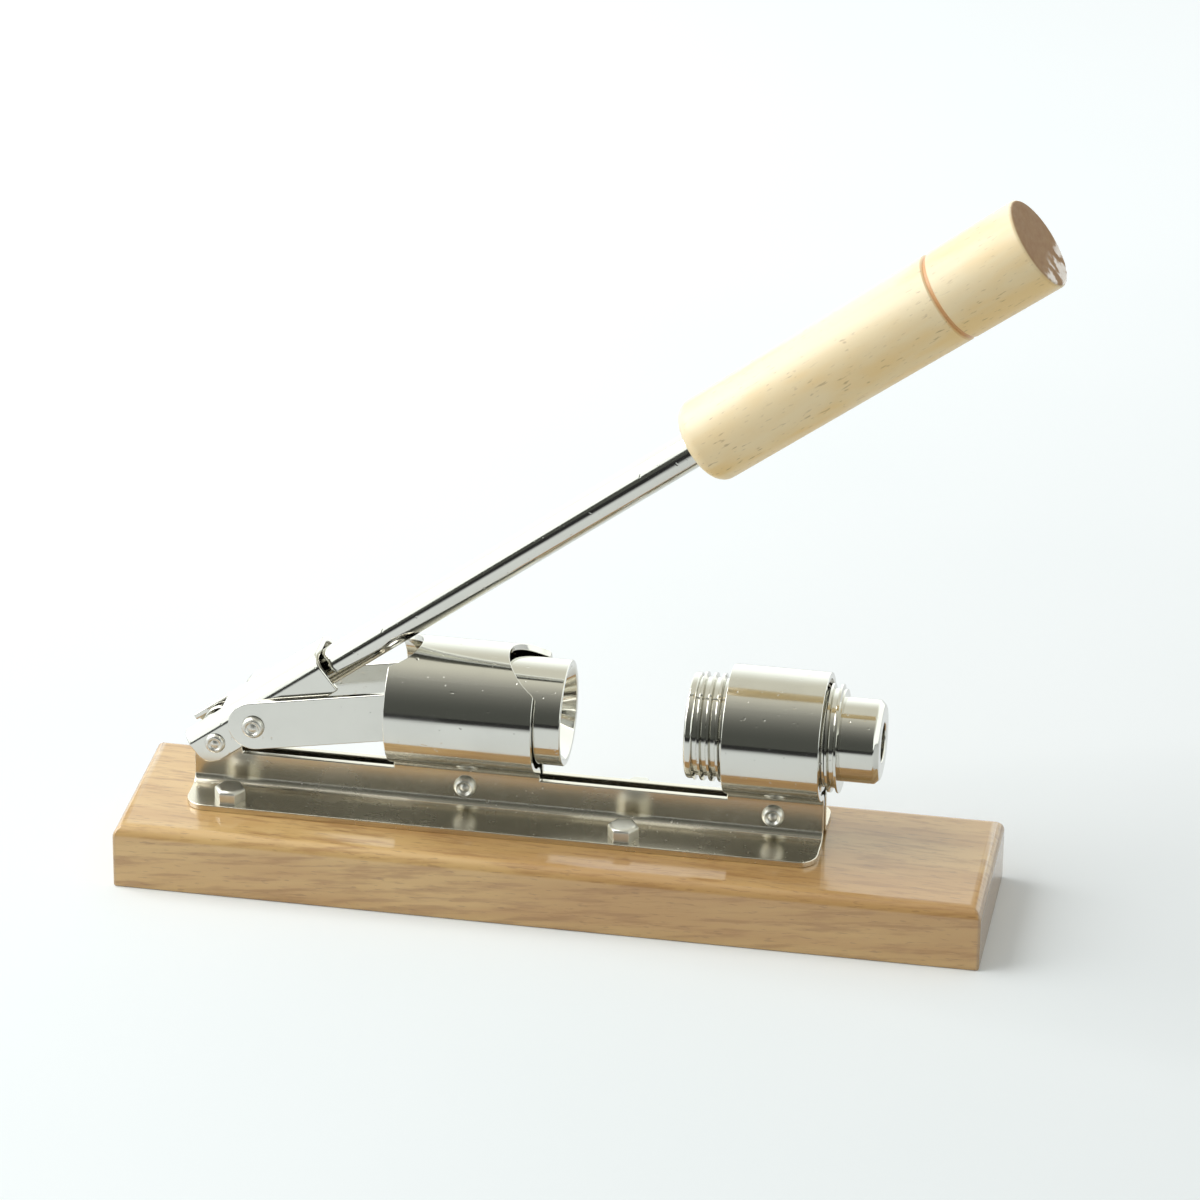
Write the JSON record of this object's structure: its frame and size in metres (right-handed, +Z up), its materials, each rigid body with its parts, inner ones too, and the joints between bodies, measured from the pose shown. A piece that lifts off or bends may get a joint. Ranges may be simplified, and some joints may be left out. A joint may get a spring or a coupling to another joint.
{
  "type": "nutcracker",
  "caption": "Bench nutcracker: a lever with a wooden handle drives a cupped ram through a sheet metal sleeve towards an adjustable screw anvil, all on a wooden board.",
  "frame": {"origin": "middle of the base board's underside", "axes": "+X along the board from the lever's pivot to the anvil, +Y away from the picture's viewer, +Z up"},
  "size_m": [0.2833, 0.06, 0.2375],
  "materials": {
    "base_wood": "glossy clear lacquer on straight grained tan wood",
    "handle_wood": "satin lacquer on pale beech",
    "bright_sheet": "bright plated pressed steel sheet",
    "bright_turned": "bright plated castings and bar",
    "bright_fastener": "bright plated screws, rivets and pins"
  },
  "bodies": {
    "frame": {"base_board": "base_wood", "bracket": "bright_sheet", "screw_front_left": "bright_fastener", "screw_front_right": "bright_fastener", "screw_rear_left": "bright_fastener", "screw_rear_right": "bright_fastener", "rivet_left": "bright_fastener", "rivet_right": "bright_fastener", "threaded_bush": "bright_turned", "pivot_pin": "bright_fastener", "pivot_spacer_front": "bright_fastener", "pivot_spacer_rear": "bright_fastener"},
    "lever": {"lever_yoke": "bright_sheet", "lever_rod": "bright_turned", "rod_pin": "bright_fastener", "handle": "handle_wood", "link_pin": "bright_fastener"},
    "links": {"link_front": "bright_sheet", "link_rear": "bright_sheet"},
    "ram": {"ram": "bright_turned", "ram_pin": "bright_fastener"},
    "anvil_cup": {"anvil_cup": "bright_turned"},
    "anvil_screw": {"anvil_screw": "bright_turned"}
  },
  "joints": [
    {"name": "lever_pivot", "type": "hinge", "parent": "frame", "child": "lever", "pos_m": [-0.1079, 0.0052, 0.0398], "axis": [0, -1, 0], "range_deg": [0, 70]},
    {"name": "link_pivot", "type": "hinge", "parent": "lever", "child": "links", "pos_m": [-0.09524, 0.0052, 0.04802], "axis": [0, -1, 0], "range_deg": [-79.6, 0]},
    {"name": "ram_slide", "type": "slide", "parent": "frame", "child": "ram", "axis": [1, 0, 0], "range_m": [-0.01445, 0]},
    {"name": "anvil_advance", "type": "slide", "parent": "frame", "child": "anvil_cup", "axis": [-1, 0, 0], "range_m": [-0.0084, 0.0196]},
    {"name": "anvil_turn", "type": "hinge", "parent": "anvil_cup", "child": "anvil_screw", "pos_m": [0.07, 0.0052, 0.0567], "axis": [-1, 0, 0], "range_deg": [-1081, 2521]}
  ],
  "couplings": [
    {"joint": "link_pivot", "follows": "lever_pivot", "ratio": -1.1349},
    {"joint": "ram_slide", "follows": "lever_pivot", "m_per_rad": -0.011785},
    {"joint": "anvil_turn", "follows": "anvil_advance", "rad_per_m": 2244}
  ]
}
